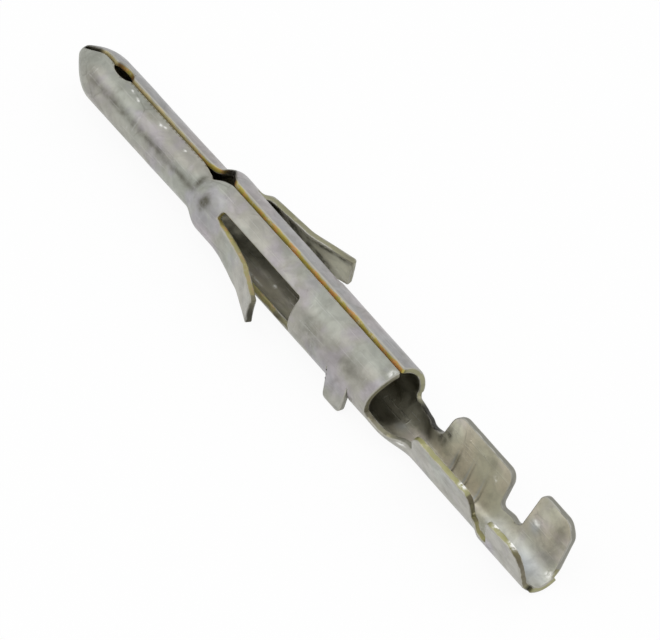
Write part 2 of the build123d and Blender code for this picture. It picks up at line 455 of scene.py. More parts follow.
def slot_loop(side):
    """Edge of the slot that a stop tab was lanced from. Its upper side is the tab's hinge."""
    hinge = [(station, tab_hinge) for station in hinge_stations]
    front, rear, low = tab_start - tab_front_margin, tab_end + tab_rear_margin, tab_slot_lows[side]
    path = [hinge[-1], (rear, tab_hinge), (rear, low), (front + tab_lean, low), (front, tab_hinge), hinge[0]]
    path = resampled(rounded(path, [hinge_corner, slot_corner, slot_corner, hinge_corner]))
    return closed(np.vstack([path, hinge[1:-1]]) * (1, side))


def tab_loop():
    """Outline of a stop tab, with its place across counted down from the hinge."""
    hinge = [(station, 0) for station in hinge_stations]
    path = [hinge[-1], (tab_end, tab_drop), (tab_start + tab_lean, tab_drop), hinge[0]]
    path = resampled(rounded(path, [tab_corner] * 2))
    return closed(np.vstack([path, hinge[1:-1]]))


def within(points, loops):
    """Which points lie inside the outline and outside its holes."""
    x, y = points.T
    result = np.zeros(len(points), dtype=bool)
    for loop in loops:
        for a, b in zip(loop, np.roll(loop, -1, axis=0)):
            if a[1] == b[1]:
                continue
            crosses = (a[1] > y) != (b[1] > y)
            result ^= crosses & (x < a[0] + (y - a[1]) * (b[0] - a[0]) / (b[1] - a[1]))
    return result


def triangulated(loops, lines):
    """Points and triangles that fill the outline, with points on the given inner lines as well."""
    edge_points = np.vstack(loops)
    tree = KDTree(len(edge_points))
    for index, point in enumerate(edge_points):
        tree.insert((*point, 0), index)
    tree.balance()
    lowest, highest = edge_points.min(axis=0), edge_points.max(axis=0)
    rows = []
    for index, station in enumerate(np.arange(lowest[0], highest[0], grid * 0.9)):
        places = np.arange(lowest[1] + (index % 2) * grid / 2, highest[1], grid)
        rows.append(np.column_stack([np.full(len(places), station), places]))
    fill = np.vstack(rows)
    for line in lines:
        fill = fill[np.abs(fill[:, 0] - line[0, 0]) > grid * 0.25]
    fill = np.vstack([fill, *lines])
    fill = fill[within(fill, loops)]
    away = np.array([tree.find((*point, 0))[2] for point in fill])
    fill = fill[away > grid * 0.5]
    points = np.vstack([edge_points, fill])
    edges, start = [], 0
    for loop in loops:
        count = len(loop)
        edges += [(start + index, start + (index + 1) % count) for index in range(count)]
        start += count
    result = delaunay_2d_cdt([Vector(point) for point in points], edges, [], 0, 1e-7)
    found = np.array([tuple(point) for point in result[0]])
    triangles = np.array(result[2])
    centres = found[triangles].mean(axis=1)
    triangles = triangles[within(centres, loops)]
    a, b, c = found[triangles.T]
    (x1, y1), (x2, y2) = (b - a).T, (c - a).T
    area = x1 * y2 - y1 * x2
    triangles[area < 0] = triangles[area < 0][:, ::-1]
    return found, triangles[np.abs(area) > 1e-9]


def wall_radius(station, across):
    """Outer radius of the real tube, out of round near the seam, at the right shoulder and at the rim."""
    top = pi * barrel_radius
    lead = shoulder_lead * eased(station, pin_length - 0.6, pin_length - 0.1)
    at_right = eased(across, side_line, side_line + 0.6)
    lead = lead + front_corner_lead * at_right * eased(station, pin_length, pin_length + 0.4)
    radius = tube_radius(station + lead)
    bulge = rim_bulge * fading(across, side_line - 0.25, 0.5) * near_rim(station)
    near_lip = eased(-across, top - 0.8, top - 0.05)
    return radius + bulge - left_lip_drop * near_lip * eased(station, 0, nose_length)


def near_rim(station):
    """Share that is 1 at the rim and fades out before and behind it."""
    return 1 - eased(np.abs(station - rim), 0, rim_slant_reach)


def slant(station, across, y):
    """How far back the sheet stands at each point: it was cut out of square at the rim and at the wings."""
    behind = eased(station, rim + 0.8, wire_start)
    behind = behind * (1 - eased(station, insulation_end - 0.2, insulation_end))
    rim_shift = rim_slant * y / barrel_radius
    for place, width, height in rim_swells:
        rim_shift = rim_shift + height * fading(across, place, width)
    return rim_shift * near_rim(station) + wing_slant * (1 + y) * behind


def fold_tube(station, across, depth):
    """Places on the rolled tube, in x, y and z."""
    near_seam = eased(np.abs(across), pi * barrel_radius - 0.3, pi * barrel_radius - 0.1)
    closing = np.where(across < 0, -left_closing, right_closing)
    closing = closing * half_gap(station) * barrel_radius / tube_radius(station)
    angle = (across + near_seam * closing * depth / sheet) / barrel_radius
    radius = np.maximum(wall_radius(station, across) - depth, nose_bore_radius)
    faded = 1 - eased(station, pin_length - 0.2, barrel_start)
    along_pin = np.minimum(station / pin_length, 1)
    near_tip = 1 - eased(station, 0, nose_length)
    y_sag, z_sag = (
        at_nose + (at_root - at_nose) * along_pin + lift * near_tip
        for at_nose, at_root, lift in zip(nose_sag, pin_root_sag, nose_tip_lift)
    )
    y = radius * np.sin(angle) + y_sag * faded
    z = -radius * np.cos(angle) + z_sag * faded
    return np.column_stack([station + slant(station, across, y), y, z])


def fold_trough(station, across, depth):
    """Places on the open trough."""
    radius, flare = trough_form(station)
    distance = np.abs(across)
    corner = radius * (pi / 2 - flare)
    angle = np.minimum(distance, corner) / radius
    up_wall = np.maximum(distance - corner, 0)
    y = (radius - depth) * np.sin(angle) + up_wall * np.sin(flare)
    z = floor_level + radius - (radius - depth) * np.cos(angle) + up_wall * np.cos(flare)
    y = np.sign(across) * y
    return np.column_stack([station + slant(station, across, y), y, z])


def fold_tang(station, across, depth):
    """Places on a tang, which bends outwards along an arc and flattens towards its tip."""
    start = np.where(across < 0, window_starts[-1], window_starts[1])
    along = np.maximum(station - start, 0)
    slope, back, out = (
        np.where(across < 0, np.interp(along, left_run[0], left), np.interp(along, right_run[0], right))
        for left, right in zip(left_run[1:], right_run[1:])
    )
    root_crown = barrel_radius - (barrel_radius**2 - tang_root_half**2) ** 0.5
    flat_share = eased(along, 0, np.where(np.abs(across) > side_line, *tang_flattening))
    crown = root_crown + (tang_tip_crown - root_crown) * flat_share
    crown_radius = (tang_root_half**2 + crown**2) / (2 * crown)
    turn = (np.abs(across) - side_line) / crown_radius
    inwards = (crown_radius - depth) * np.cos(turn) - crown_radius
    x = start + back - inwards * np.sin(slope)
    y = barrel_radius + out + inwards * np.cos(slope)
    z = (crown_radius - depth) * np.sin(turn)
    return np.column_stack([x, np.sign(across) * y, z])


def fold_tab(station, below_hinge, depth):
    """Places on the right-hand stop tab, a flat flap that hangs from its hinge."""
    hinge_angle = tab_hinge / barrel_radius
    out, up = cos(tab_drop_angle), sin(tab_drop_angle)
    y = barrel_radius * sin(hinge_angle) + below_hinge * out + depth * up
    z = -barrel_radius * cos(hinge_angle) + below_hinge * up - depth * out
    return np.column_stack([station, y, z])


def fold_blank(points, depth):
    """Places of points of the main blank at a depth under its outer face."""
    station, across = points.T
    in_tang = np.abs(np.abs(across) - side_line) < tang_strip_half
    for side, arc in tang_arcs.items():
        start = window_starts[side]
        in_tang &= (across * side < 0) | between(station, start, start + arc + tang_tip_margin)
    in_tube = (station < rim + edge_step / 10)[:, None]
    folded = np.where(in_tube, fold_tube(station, across, depth), fold_trough(station, across, depth))
    return np.where(in_tang[:, None], fold_tang(station, across, depth), folded)


def inner_depth(points):
    """Thickness of the sheet, which the serration grooves thin from the inside."""
    depth = np.full(len(points), sheet)
    for station in groove_stations:
        past_floor = (np.abs(points[:, 0] - station) - groove_half_width) / groove_edge
        depth -= groove_depth * groove_fading(points[:, 1]) * (1 - np.clip(past_floor, 0, 1))
    return depth


def groove_fading(across):
    """Depth of the serration grooves across the sheet: full at the floor, none at the wings' tops."""
    top = across_at(wire_start + 1, floor_level + wire_height)
    return 1 - eased(np.abs(across), top - groove_fade[0], top - groove_fade[1])


def groove_lines():
    """Rows of points along the edges of the serration grooves."""
    places = np.arange(-groove_reach, groove_reach, grid * 0.8)
    inner_line, outer_line = groove_half_width, groove_half_width + groove_edge
    lines = []
    for station in groove_stations:
        for shift in (-outer_line, -inner_line, inner_line, outer_line):
            lines.append(np.column_stack([np.full(len(places), station + shift), places]))
    return lines


def blank_sheet():
    """Outer and inner places of every point of the folded blank, its triangles, and its flat places."""
    left, right = (half_outline(lip, side) for lip, side in zip(lip_across(), (-1, 1)))
    tip = resampled([left[0], right[0]])[1:-1]
    outline = closed(np.vstack([right, left[::-1], tip]))
    loops = [outline] + [loop(side) for loop in (window_loop, slot_loop) for side in (-1, 1)]
    flat, triangles = triangulated(loops, groove_lines())
    outer, inner = fold_blank(flat, 0), fold_blank(flat, inner_depth(flat))
    tab_flat, tab_triangles = triangulated([tab_loop()], [])
    station, below_hinge = tab_flat.T
    for side in (-1, 1):
        triangles = np.vstack([triangles, tab_triangles[:, ::-side] + len(outer)])
        outer, inner = (
            np.vstack([places, fold_tab(station, below_hinge, depth) * (1, side, 1)])
            for places, depth in ((outer, 0), (inner, sheet))
        )
        flat = np.vstack([flat, np.column_stack([station, side * (tab_hinge - below_hinge)])])
    return welded(outer, inner, triangles, flat)


def welded(outer, inner, triangles, flat):
    """The same sheet with the points that the barrel and the stop tabs share made one."""
    at_hinge = np.abs(np.abs(flat[:, 1]) - tab_hinge) < touching
    at_hinge &= between(flat[:, 0], tab_start - touching, tab_end + touching)
    target = np.arange(len(flat))
    known = {}
    for index in np.flatnonzero(at_hinge):
        key = (round(flat[index, 0], 3), flat[index, 1] > 0)
        target[index] = known.setdefault(key, index)
    used, triangles = np.unique(target[triangles], return_inverse=True)
    return outer[used], inner[used], triangles.reshape(-1, 3), flat[used]


def dented(outer, inner, flat):
    """Both faces moved a little together, as handling and forming leave real sheet."""
    for index, (place, point) in enumerate(zip(outer, flat)):
        spot = np.array((point[0], *place[1:]))
        wave = noise.noise(Vector(spot * wave_scale))
        ripple = noise.noise(Vector(spot * ripple_scale + ripple_shift))
        height = wave_height * wave + ripple_height * ripple - wave_height
        shift = unit(outer[index] - inner[index]) * height
        outer[index] += shift
        inner[index] += shift
    return outer, inner


def solid_sheet(outer, inner, triangles, flat):
    """Closes the sheet with rounded edges. Gives places, faces, and each face's part of the sheet."""
    edges = dict.fromkeys(edge for a, b, c in triangles for edge in ((a, b), (b, c), (c, a)))
    border = [edge for edge in edges if edge[::-1] not in edges]
    a, b, c = outer[triangles.T]
    face_normals = np.cross(b - a, c - a)
    normals = np.zeros_like(outer)
    for corner in triangles.T:
        np.add.at(normals, corner, face_normals)
    outwards = np.zeros_like(outer)
    for start, end in border:
        away = np.cross(unit(outer[end] - outer[start]), unit(normals[start] + normals[end]))
        outwards[start] += away
        outwards[end] += away
    ring = np.unique(border)
    outwards[ring] /= np.maximum(np.linalg.norm(outwards[ring], axis=1), 1e-9)[:, None]
    at_tip = flat[ring, 0] < nose_edge + 1e-4
    radius = np.where(at_tip, nose_edge, edge_rounding)[:, None]
    inset = np.where(at_tip, 0, edge_rounding)[:, None]
    outer[ring] -= outwards[ring] * inset
    inner[ring] -= outwards[ring] * inset
    thickness = np.linalg.norm(inner[ring] - outer[ring], axis=1)[:, None]
    places, depths = [outer, inner], [np.zeros(len(outer)), np.ones(len(inner))]
    rows = [ring.tolist()]
    turns = [radians(90 * (row + 1) / edge_rows) for row in range(edge_rows)]
    profile = [(turn, False) for turn in turns] + [(turn, True) for turn in turns[::-1]]
    total = 2 * len(outer)
    for turn, from_inside in profile:
        share = (1 - cos(turn)) * radius / thickness
        share = 1 - share if from_inside else share
        bulge = outwards[ring] * sin(turn) * radius
        places.append(outer[ring] * (1 - share) + inner[ring] * share + bulge)
        depths.append(share[:, 0])
        rows.append(range(total, total + len(ring)))
        total += len(ring)
    rows.append((ring + len(outer)).tolist())
    # The blank's triangles turn inwards when it is folded, so the outer face takes them reversed
    faces = triangles[:, ::-1].tolist() + (triangles + len(outer)).tolist()
    parts = [OUTER] * len(triangles) + [INNER] * len(triangles)
    for first, second in np.searchsorted(ring, border).tolist():
        for upper, lower in zip(rows, rows[1:]):
            faces.append((lower[second], lower[first], upper[first], upper[second]))
            parts.append(EDGE)
    flat_rows = [flat, flat] + [flat[ring]] * len(profile)
    return np.vstack(places), faces, parts, np.concatenate(depths), np.vstack(flat_rows)


def blots(flat, spots):
    """Sum of soft spots, each of a station, place across, length, width and perhaps a weight."""
    total = np.zeros(len(flat))
    for station, across, length, width, *weight in spots:
        spot = fading(flat[:, 0], station, length) * fading(flat[:, 1], across, width)
        total += spot * weight[0] if weight else spot
    return total


def eye_nearness(station):
    """Share that is 1 along the seam's eye and fades out just beyond its ends."""
    return 1 - eased(np.abs(station - eye_station), eye_half_length - 0.1, eye_half_length + 0.03)


def along_groove(flat, station):
    """Share that is 1 on a line across the sheet beside a serration groove."""
    return fading(flat[:, 0], station, groove_line) * groove_fading(flat[:, 1])


def bareness(flat):
    """How much brass a cut edge shows at each point: least on the right-hand wings and the stop tabs."""
    station, across = flat.T
    left = across < 0
    behind_rim = eased(station, rim + 0.1, wire_start)
    bare = np.where(left, left_bare + left_bare_rise * behind_rim, right_bare * (1 - behind_rim))
    falling = transition_bare - transition_bare_fall * eased(station, rim + 0.9, rim + 1.3)
    bare = np.where(left & between(station, rim + 0.3, wire_start - 0.02), falling, bare)
    at_rim = np.abs(station - rim) < edge_reach
    bare = np.where(at_rim, np.where(left, left_rim_bare, right_rim_bare), bare)
    at_tab = between(station, tab_start - edge_reach, tab_end + edge_reach) & (np.abs(across) < side_line)
    bare = np.where(at_tab, tab_bare, bare)
    return np.where((station > insulation_end - edge_reach) & (across < 0.9), stub_bare, bare)


def shaded_edges(flat):
    """Where a cut edge is black: painted shade in the gaps at the neck, the nose and the ends of the eye and
    on the far transition, and darkened spots at two corners.
    """
    station, across = flat.T
    at_neck = eased(station, 6.15, 6.35) * (1 - eased(station, 6.78, 6.92))
    at_nose = 1 - eased(station, 0.50, 0.75)
    at_eye = eye_nearness(station) * eased(np.abs(station - eye_station), 0.05, 0.35)
    edge_shade = (nose_shade * at_nose + eye_shade * at_eye) * (np.abs(across) > nose_side)
    edge_shade += at_neck * (np.abs(across) > seam_side)
    behind_rim = eased(station, rim + 0.15, rim + 0.5) * (1 - eased(station, wire_start - 0.3, wire_start))
    edge_shade += transition_shade * behind_rim * (across > 0.8)
    left_tip = window_starts[-1] + tang_arcs[-1]
    corners = ((insulation_end, -0.54, 0.10, 0.12), (left_tip, 0.15 - side_line, 0.12, 0.50, 0.8))
    return np.clip(edge_shade + blots(flat, corners), 0, 1)


def glinting(flat, depths):
    """Painted highlights: small bright marks on each face."""
    inside, outside = inner_glint * blots(flat, inner_glint_spots), outer_glint * blots(flat, outer_glint_spots)
    return np.clip(np.where(depths > 0.5, inside, outside), 0, 1)


def tarnish(flat):
    """How brown a cut edge is at each point: tangs, windows, rim, transition and the wings' rear corners."""
    station, across = flat.T
    front = min(window_starts.values())
    at_windows = between(station, front - 0.1, window_end + 0.1) & (np.abs(across) < window_high + 0.1)
    tips = blots(flat, [(front + 3.2, side * side_line, 0.3, 0.6) for side in (-1, 1)])
    brown = at_windows * (window_tarnish * eased(station, front + 0.5, front + 1.5) + tips)
    brown += rim_tarnish * ((np.abs(station - rim) < edge_reach) & (across < -1.2))
    at_transition = between(station, rim - 0.02, wire_start) & (np.abs(across) < 1.7)
    near = 1 - near_tarnish_fall * eased(station, rim + 0.5, wire_start)
    brown += np.where(across < 0, near, far_tarnish) * at_transition
    at_low_edge = (station > window_starts[-1] + 2.5) & (np.abs(across + window_low) < 0.1)
    brown += low_edge_tarnish * at_low_edge
    for end, reach in corner_tarnish_reach.items():
        brown += corner_tarnish * (np.abs(station - end) < reach) * eased(np.abs(across), 0.5, 0.9)
    return np.clip(brown, 0, 1)


def in_seam(flat):
    """Share of brass colour at each point: full along the seam, partial along the left tang."""
    station, across = flat.T
    along_seam = (station < rim - 0.02) & (np.abs(across) > window_high + 0.15)
    back = station - window_starts[-1]
    at_left_tang = between(back, -0.15, tang_arcs[-1] - 0.2) & (across < -0.9)
    share = tang_brass - tang_brass_fall * eased(back, 0.6, 1.2)
    return np.where(along_seam, 1.0, share * at_left_tang)


def paled(flat):
    """Where the seam is pale rather than orange: along the pin, except at its eye."""
    station, across = flat.T
    along_pin = (1 - eased(station, 4.6, 5.8)) * (1 - eye_nearness(station))
    return seam_paleness * along_pin * (np.abs(across) > seam_side)


def painted_inner_shade(flat, depths):
    """How much painted shade the inner face gets at each point: most on the right inside the tube, less
    behind the rim.
    """
    station, across = flat.T
    dim = side_dimness + (1 - side_dimness) * eased(across, -0.45, 0.40)
    at_ends = eased(station, rim - 2.5, rim - 1.0) + pin_dimness * (station < barrel_start)
    dim = np.maximum(dim, np.clip(at_ends, 0, 1))
    right_wall = eased(across, 0.1, 0.8)
    lit = 0
    for size, *ends in rear_falls:
        start, end = (rim + back + further * right_wall for back, further in ends)
        lit = lit + size * eased(station, start, end)
    front = min(window_starts.values())
    in_tang = between(station, front + 0.8, window_end - 0.3) & (np.abs(across - side_line) < tang_root_arc)
    return (depths > 0.5) * np.where(in_tang, 0, dim * (1 - lit))


def cool_highlighting(flat):
    """Where the plate is brighter and cooler, as a painted highlight: the trough's floor and the grooves'
    front edges.
    """
    shine = blots(flat, cool_highlights)
    for groove in groove_stations:
        shine += groove_highlight * along_groove(flat, groove - groove_half_width)
    return np.clip(shine, 0, 1)


def soiling_and_shading(flat, depths):
    """How dull each point of the blank is: darker at stains, and darker as painted shade inside the tube,
    the window and the trough, on the right tang and beside the grooves, and as a painted reflection along
    the pin.
    """
    station, across = flat.T
    along_pin = eased(station, 0.8, 1.6) * (1 - eased(station, 5.8, 6.4))
    # Painted reflection: a dark line along the pin's lower side
    outside = pin_reflection_dark * fading(across, pin_reflection_line, pin_reflection_width) * along_pin
    outside += front_soil * (1 - eased(station, barrel_start - 0.2, barrel_start + 0.6))
    outside += front_soil * (1 - eased(station, 0.6, 1.5))
    outside += blots(flat, outer_stains_and_shade)
    inside = blots(flat, inner_dark_spots)
    for groove, weight in zip(groove_stations, groove_shade):
        inside += weight * along_groove(flat, groove + groove_half_width)
    # Painted shade on the far wall behind the rim, inside the window and along the right tang's inner face
    on_far_wall = eased(across, 0.3, 0.9) * eased(station, rim, rim + 0.4) * (station < wire_start)
    inside += far_wall_shade * on_far_wall
    before_end = station < window_end
    in_window = before_end * eased(across, -0.45, 0.4) * (across < 1.1)
    inside += in_window * (window_shade + window_front_shade * (1 - eased(station, 8.0, 8.8)))
    inside += window_line_shade * fading(across, window_line, window_line_width) * before_end
    along_tang = before_end & (np.abs(across - side_line) < tang_root_arc)
    inside += tang_soil * along_tang
    out = np.interp(station - window_starts[1], right_run[0], right_run[3])
    above_barrel = across - side_line - tang_shade_line + tang_shade_slope * out
    in_tang = along_tang & (station > window_starts[1] + 0.1)
    inside += tang_shade * in_tang * (1 - eased(above_barrel, 0, tang_shade_fade))
    line = fading(across, side_line + tang_tip_half - tang_line_inset, tang_line_width)
    inside += tang_line_shade * line * between(station, window_starts[1], window_end)
    return np.clip(np.where(depths > 0.5, inside, outside), 0, 1)


# Materials


class Nodes:
    """Short way to add shader nodes to a material or a world, and to join them."""

    def __init__(self, owner):
        owner.use_nodes = True
        self.owner = owner
        self.tree = owner.node_tree

    def set(self, socket, value):
        """Joins a socket to another, or gives it a value."""
        if isinstance(value, bpy.types.NodeSocket):
            self.tree.links.new(value, socket)
        else:
            socket.default_value = (*value, 1) if socket.type == "RGBA" else value

    def fill(self, node, inputs):
        """The node, after each of these inputs is joined or given its value."""
        for key, value in inputs.items():
            self.set(node.inputs[key], value)
        return node

    def add(self, kind, output, inputs, **settings):
        """Output of a new node with these inputs and settings."""
        node = self.tree.nodes.new(kind)
        for name, value in settings.items():
            setattr(node, name, value)
        return self.fill(node, inputs).outputs[output]

    def mapped(self, vector, scale, shift=(0, 0, 0)):
        """Coordinates scaled along each axis."""
        return self.add("ShaderNodeMapping", "Vector", {"Vector": vector, "Scale": scale, "Location": shift})

    def noise(self, scale, detail=3.0, roughness=0.55, stretch=(1, 1, 1), shift=(0, 0, 0), distortion=0.0):
        """Noise from 0 to 1 whose scale is in features to the millimetre."""
        vector = self.mapped(self.place, stretch, shift)
        inputs = {"Scale": scale, "Detail": detail, "Roughness": roughness, "Distortion": distortion}
        return self.add("ShaderNodeTexNoise", "Fac", {"Vector": vector, **inputs})

    def cells(self, scale, feature, stretch=(1, 1, 1)):
        """Distance in a pattern of cells."""
        inputs = {"Vector": self.mapped(self.place, stretch), "Scale": scale}
        return self.add("ShaderNodeTexVoronoi", "Distance", inputs, feature=feature)

    def ramp(self, value, low, high, low_value=0.0, high_value=1.0):
        """Value carried smoothly from one range to another."""
        limits = {"From Min": low, "From Max": high, "To Min": low_value, "To Max": high_value}
        inputs = {"Value": value, **limits}
        return self.add("ShaderNodeMapRange", "Result", inputs, interpolation_type="SMOOTHSTEP")

    def math(self, operation, *values):
        """Values joined by an operation."""
        return self.add("ShaderNodeMath", 0, dict(enumerate(values)), operation=operation)

    def mix(self, share, first, second, blend="MIX"):
        """Two colours mixed by a share."""
        inputs = {0: share, 6: first, 7: second}
        return self.add("ShaderNodeMix", 2, inputs, data_type="RGBA", blend_type=blend)

    def grey(self, value):
        """A value as a colour."""
        return self.add("ShaderNodeCombineColor", "Color", dict.fromkeys(range(3), value))

    def attribute(self, name):
        """Value that the mesh carries at each point."""
        return self.add("ShaderNodeAttribute", "Fac", {}, attribute_name=name)

    def spark(self):
        """Painted highlights: small bright marks, broken up by noise."""
        return self.math("MULTIPLY", self.attribute("glint"), self.ramp(self.noise(7.0, 2.0), 0.35, 0.55))

    def seen_white(self):
        """Share that is 1 for rays from the camera, and in reflections and glass."""
        rays = self.tree.nodes.new("ShaderNodeLightPath").outputs
        share = self.math("MAXIMUM", rays["Is Camera Ray"], rays["Is Glossy Ray"])
        return self.math("MAXIMUM", share, rays["Is Transmission Ray"])

    def blend(self, share, first, second, end):
        """Joins two shaders, mixed by a share, to the node at the end."""
        mixed = self.add("ShaderNodeMixShader", 0, {0: share, 1: first, 2: second})
        self.fill(self.tree.nodes[end], {"Surface": mixed})

    def surface(self, inputs, relief, strength, distance):
        """The material, after its shader has got these inputs and a small relief."""
        bump = {"Height": relief, "Strength": strength, "Distance": distance}
        normal = self.add("ShaderNodeBump", "Normal", bump)
        self.fill(self.tree.nodes["Principled BSDF"], {**inputs, "Normal": normal})
        return self.owner


def new_nodes(name):
    """Nodes of a new material, with its places in millimetres."""
    nodes = Nodes(bpy.data.materials.new(name))
    nodes.place = nodes.mapped(nodes.add("ShaderNodeTexCoord", "Object", {}), (1 / MM,) * 3)
    return nodes


tin_grey = (0.40, 0.39, 0.345)
# Lighter, warmer tin for the inner faces: the extra lightness is painted light against the dark their
# reflections see
tin_warm_lit = (0.60, 0.56, 0.45)
green_cast = (0.955, 1.01, 1.01)
lilac_cast = (1.0, 0.955, 1.11)
tin_cool_highlight = (0.52, 0.55, 0.57)
tin_bright = (0.60, 0.60, 0.58)
tin_glint = (0.98, 0.98, 0.95)
tin_dull = (0.21, 0.20, 0.155)
tin_soil_and_shade = (0.10, 0.095, 0.07)
# Colour of the painted shade inside the tube and the trough
tin_painted_shade = (0.30, 0.29, 0.225)
tin_lap = (0.25, 0.245, 0.21)
# Seam brass, lighter than the other edges' brass as painted light against the shade in the seam's groove
seam_olive_lit = (0.50, 0.43, 0.11)
seam_orange_lit = (0.66, 0.37, 0.13)
seam_gold = (0.60, 0.54, 0.32)
edge_pale = (0.33, 0.32, 0.165)
edge_olive = (0.27, 0.26, 0.09)
edge_brown = (0.10, 0.08, 0.05)
edge_black = (0.022, 0.020, 0.014)


def tin(name, base, metallic):
    """Dull tin plate: faint mottling, stains and fine scratches along the strip, with painted shade, painted
    cool highlights, and specks and glints as painted highlights.
    """
    nodes = new_nodes(name)
    hue = nodes.ramp(nodes.noise(0.55, 2.0, shift=(3, 1, 7)), 0.40, 0.60)
    tint = nodes.ramp(nodes.noise(0.8, 3.0, shift=(11, 4, 2)), 0.50, 0.66)
    tint = nodes.math("MAXIMUM", tint, nodes.attribute("tint"))
    colour = nodes.mix(hue, base, green_cast, "MULTIPLY")
    colour = nodes.mix(tint, colour, lilac_cast, "MULTIPLY")
    # Painted cool highlight on the inner faces
    colour = nodes.mix(nodes.attribute("cool_highlight"), colour, tin_cool_highlight)
    stain = nodes.ramp(nodes.noise(1.1, 6.0, 0.65, shift=(5, 8, 1), distortion=0.6), 0.46, 0.72, 0, 0.42)
    colour = nodes.mix(stain, colour, tin_dull)
    mottle = nodes.ramp(nodes.noise(2.2, 4.0, 0.6, shift=(6, 2, 8), distortion=0.8), 0.35, 0.65, 0.90, 1.08)
    colour = nodes.mix(1.0, colour, nodes.grey(mottle), "MULTIPLY")
    soil_edge = nodes.ramp(nodes.noise(3.0, 4.0, 0.6), 0.30, 0.70, 0.45, 1.25)
    soil_and_shade = nodes.math("MULTIPLY", nodes.attribute("soil_and_shade"), soil_edge)
    # Painted shade on the inner faces inside the tube and behind the rim
    colour = nodes.mix(nodes.math("MULTIPLY", nodes.attribute("painted_inner_shade"), 0.92), colour, tin_painted_shade)
    # Stains and painted shade from the carried share, broken up by noise
    colour = nodes.mix(soil_and_shade, colour, tin_soil_and_shade)
    crease = nodes.ramp(nodes.cells(0.75, "DISTANCE_TO_EDGE", (1, 1.3, 1.3)), 0.0, 0.03, 1, 0)
    crease_mask = nodes.ramp(nodes.noise(0.9, 2.0, shift=(1, 9, 4)), 0.55, 0.68, 0, 0.3)
    colour = nodes.mix(nodes.math("MULTIPLY", crease, crease_mask), colour, tin_soil_and_shade)
    scratch = nodes.ramp(nodes.noise(1.0, 2.0, 0.5, (0.5, 16, 16)), 0.62, 0.70)
    cross = nodes.ramp(nodes.noise(1.0, 2.0, 0.5, (9, 2.2, 2.2), (2, 3, 5)), 0.68, 0.74)
    worn = nodes.math("MAXIMUM", scratch, cross)
    colour = nodes.mix(nodes.math("MULTIPLY", worn, 0.2), colour, tin_bright)
    # Painted highlights: stray bright specks and the listed glints
    glint_speck = nodes.ramp(nodes.noise(4.5, 2.0, shift=(9, 6, 3)), 0.80, 0.86)
    colour = nodes.mix(nodes.math("MAXIMUM", glint_speck, nodes.spark()), colour, tin_glint)
    shiny = nodes.ramp(nodes.attribute("painted_inner_shade"), 0, 1, metallic, 1.0)
    rough = nodes.ramp(nodes.noise(1.7, 4.0, 0.6, shift=(2, 2, 9)), 0.35, 0.65, 0.33, 0.48)
    rough = nodes.math("ADD", rough, nodes.math("MULTIPLY", worn, -0.06))
    relief = nodes.noise(7.0, 5.0, 0.65)
    pits = nodes.ramp(nodes.cells(2.2, "F1"), 0.0, 0.09, 1, 0)
    for part, weight in ((worn, 0.6), (pits, 1.6), (nodes.noise(1.6, 3.0), 1.5)):
        relief = nodes.math("ADD", relief, nodes.math("MULTIPLY", part, weight))
    inputs = {"Base Color": colour, "Metallic": shiny, "Roughness": rough}
    return nodes.surface(inputs, relief, 0.6, 0.012 * MM)


def sheared_edge(name):
    """Cut edge of the sheet: bare brass in the middle, with tin dragged over from each face."""
    nodes = new_nodes(name)
    wander = nodes.ramp(nodes.noise(2.4, 3.0), 0.3, 0.7, -0.12, 0.12)
    depth = nodes.math("ADD", nodes.attribute("depth"), wander)
    dirt = nodes.ramp(nodes.noise(1.1, 4.0, 0.6, shift=(8, 1, 1)), 0.45, 0.65, 0, 0.8)
    edge = nodes.mix(dirt, edge_pale, edge_olive)
    brown = nodes.ramp(nodes.noise(0.9, 3.0, shift=(2, 6, 1)), 0.35, 0.60, 0.4, 1.0)
    edge = nodes.mix(nodes.math("MULTIPLY", brown, nodes.attribute("tarnish")), edge, edge_brown)
    edge = nodes.mix(nodes.ramp(nodes.noise(3.2, 3.0, shift=(1, 3, 8)), 0.60, 0.74), edge, seam_gold)
    edge = nodes.mix(nodes.attribute("bare"), tin_lap, edge)
    gold = nodes.ramp(nodes.noise(2.6, 4.0, 0.65, shift=(4, 4, 1)), 0.47, 0.60)
    seam = nodes.mix(gold, seam_olive_lit, seam_orange_lit)
    seam = nodes.mix(nodes.ramp(nodes.noise(4.0, 3.0, shift=(7, 1, 2)), 0.56, 0.70), seam, seam_gold)
    seam = nodes.mix(nodes.attribute("pale"), seam, seam_gold)
    colour = nodes.mix(nodes.attribute("seam"), edge, seam)
    # Painted shade: cut edges in the seam's gaps and on the far transition go black
    colour = nodes.mix(nodes.attribute("edge_shade"), colour, edge_black)
    spark = nodes.spark()
    colour = nodes.mix(nodes.ramp(depth, 0.10, 0.28, 1, 0), colour, tin_grey)
    colour = nodes.mix(nodes.ramp(depth, 0.84, 0.96), colour, tin_grey)
    # The painted shade reaches over the tin beside the edge too
    colour = nodes.mix(nodes.math("MULTIPLY", nodes.attribute("edge_shade"), 0.6), colour, edge_black)
    # Painted highlights on the cut edges
    colour = nodes.mix(spark, colour, tin_glint)
    rough = nodes.ramp(nodes.noise(5.0, 3.0), 0.3, 0.7, 0.32, 0.52)
    inputs = {"Base Color": colour, "Metallic": 0.6, "Roughness": rough}
    return nodes.surface(inputs, nodes.noise(6.0, 3.0, 0.6, (2.0, 1, 1)), 0.5, 0.01 * MM)


def linked(name, data):
    """New object in the scene."""
    item = bpy.data.objects.new(name, data)
    bpy.context.collection.objects.link(item)
    return item


# Contact

outer, inner, triangles, flat = blank_sheet()
outer, inner = dented(outer, inner, flat)
places, faces, parts, depths, flat = solid_sheet(outer, inner, triangles, flat)
nose_place = Vector((low_corner.x, 0, low_corner.z + barrel_radius * MM))
vertices = places * MM + np.array(nose_place)

